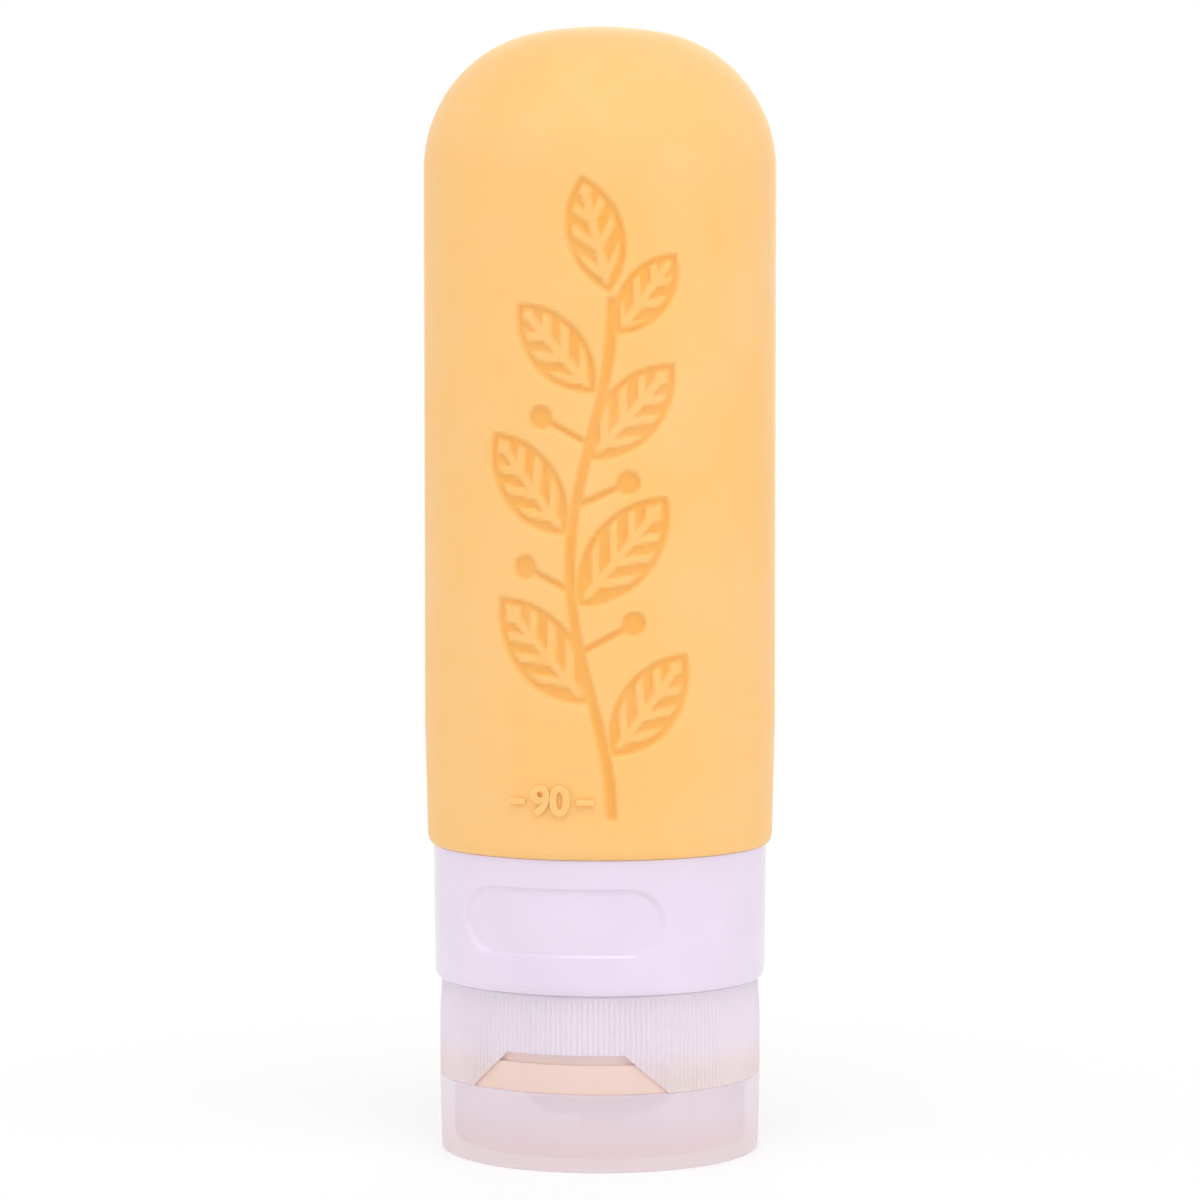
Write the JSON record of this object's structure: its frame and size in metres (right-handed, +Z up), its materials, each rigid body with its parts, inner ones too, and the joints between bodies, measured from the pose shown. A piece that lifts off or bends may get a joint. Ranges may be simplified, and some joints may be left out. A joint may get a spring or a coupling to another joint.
{
  "type": "travel squeeze bottle",
  "caption": "Soft silicone squeeze bottle with a domed end, a turning label collar and a ribbed screw cap with a hinged flip lid, standing on its lid.",
  "frame": {"origin": "centre of the lid's flat outer face, on the surface that the bottle stands on", "axes": "+Z up along the bottle's axis to the dome, -Y to the front with the thumb notch and the collar's panel, +Y to the hinge, +X to the right seen from the front"},
  "size_m": [0.041, 0.041, 0.131],
  "materials": {
    "silicone": "matte pale orange silicone",
    "seal_silicone": "matte orange silicone",
    "collar_plastic": "glossy white with a cool tint",
    "ring_plastic": "satin white",
    "neck_plastic": "satin white",
    "clear_plastic": "frosted translucent"
  },
  "bodies": {
    "bottle": {"bottle_body": "silicone", "neck_insert": "neck_plastic", "clamp_ring": "ring_plastic"},
    "label_collar": {"collar": "collar_plastic"},
    "cap_seal": {"seal_valve": "seal_silicone"},
    "screw_cap": {"cap_base": "clear_plastic", "hinge_strip": "clear_plastic", "left_hinge_wing": "clear_plastic", "right_hinge_wing": "clear_plastic"},
    "lid": {"flip_lid": "clear_plastic"}
  },
  "joints": [
    {"name": "collar_turn", "type": "hinge", "parent": "bottle", "child": "label_collar", "pos_m": [0, 0, 0.0282], "axis": [0, 0, 1], "continuous": true},
    {"name": "cap_lift", "type": "slide", "parent": "bottle", "child": "cap_seal", "axis": [0, 0, -1], "range_m": [0, 0.009]},
    {"name": "cap_twist", "type": "hinge", "parent": "cap_seal", "child": "screw_cap", "pos_m": [0, 0, 0.01475], "axis": [0, 0, -1], "range_deg": [0, 1080]},
    {"name": "lid_flip", "type": "hinge", "parent": "screw_cap", "child": "lid", "pos_m": [0, 0.01895, 0.00895], "axis": [1, 0, 0], "range_deg": [0, 165], "deforming": ["hinge_strip", "left_hinge_wing", "right_hinge_wing"]}
  ],
  "couplings": [
    {"joint": "cap_lift", "follows": "cap_twist", "m_per_rad": 0.00047746}
  ]
}
